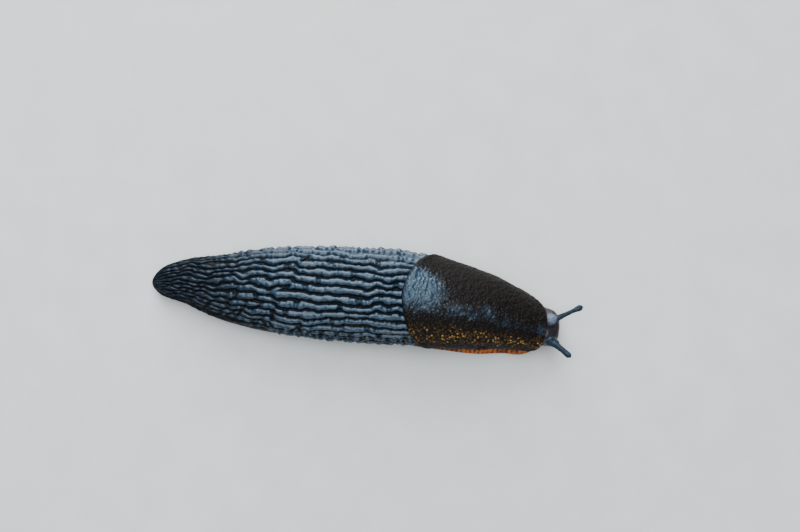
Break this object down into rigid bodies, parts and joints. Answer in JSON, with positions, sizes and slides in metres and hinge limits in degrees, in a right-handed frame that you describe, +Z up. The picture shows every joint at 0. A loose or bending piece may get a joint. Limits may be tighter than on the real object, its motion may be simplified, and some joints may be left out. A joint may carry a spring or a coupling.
{
  "type": "slug",
  "caption": "Large land slug at rest on its foot, with rows of long tubercles, a mantle with a breathing pore, and upper and lower tentacles.",
  "frame": {"origin": "on the floor, under the middle of the whole animal's box", "axes": "+X from the tail to the head, +Y to the animal's left, +Z up"},
  "size_m": [0.0954, 0.0252, 0.0139],
  "materials": {
    "ridged_skin": "wet, with long raised tubercles",
    "smooth_skin": "wet, finely wrinkled",
    "mantle_skin": "wet, finely granular",
    "foot_fringe": "wet, orange-brown with dark cross bars",
    "tentacle_skin": "wet, finely granular",
    "eye": "glossy black"
  },
  "bodies": {
    "root": {"tail": "ridged_skin", "trunk": "ridged_skin", "shoulders": "ridged_skin", "neck": "smooth_skin", "head": "smooth_skin", "mantle": "mantle_skin", "foot": "foot_fringe", "upper_tentacle_left": "tentacle_skin", "upper_tentacle_right": "tentacle_skin", "lower_tentacle_left": "tentacle_skin", "lower_tentacle_right": "tentacle_skin", "eye_left": "eye", "eye_right": "eye"}
  },
  "joints": []
}
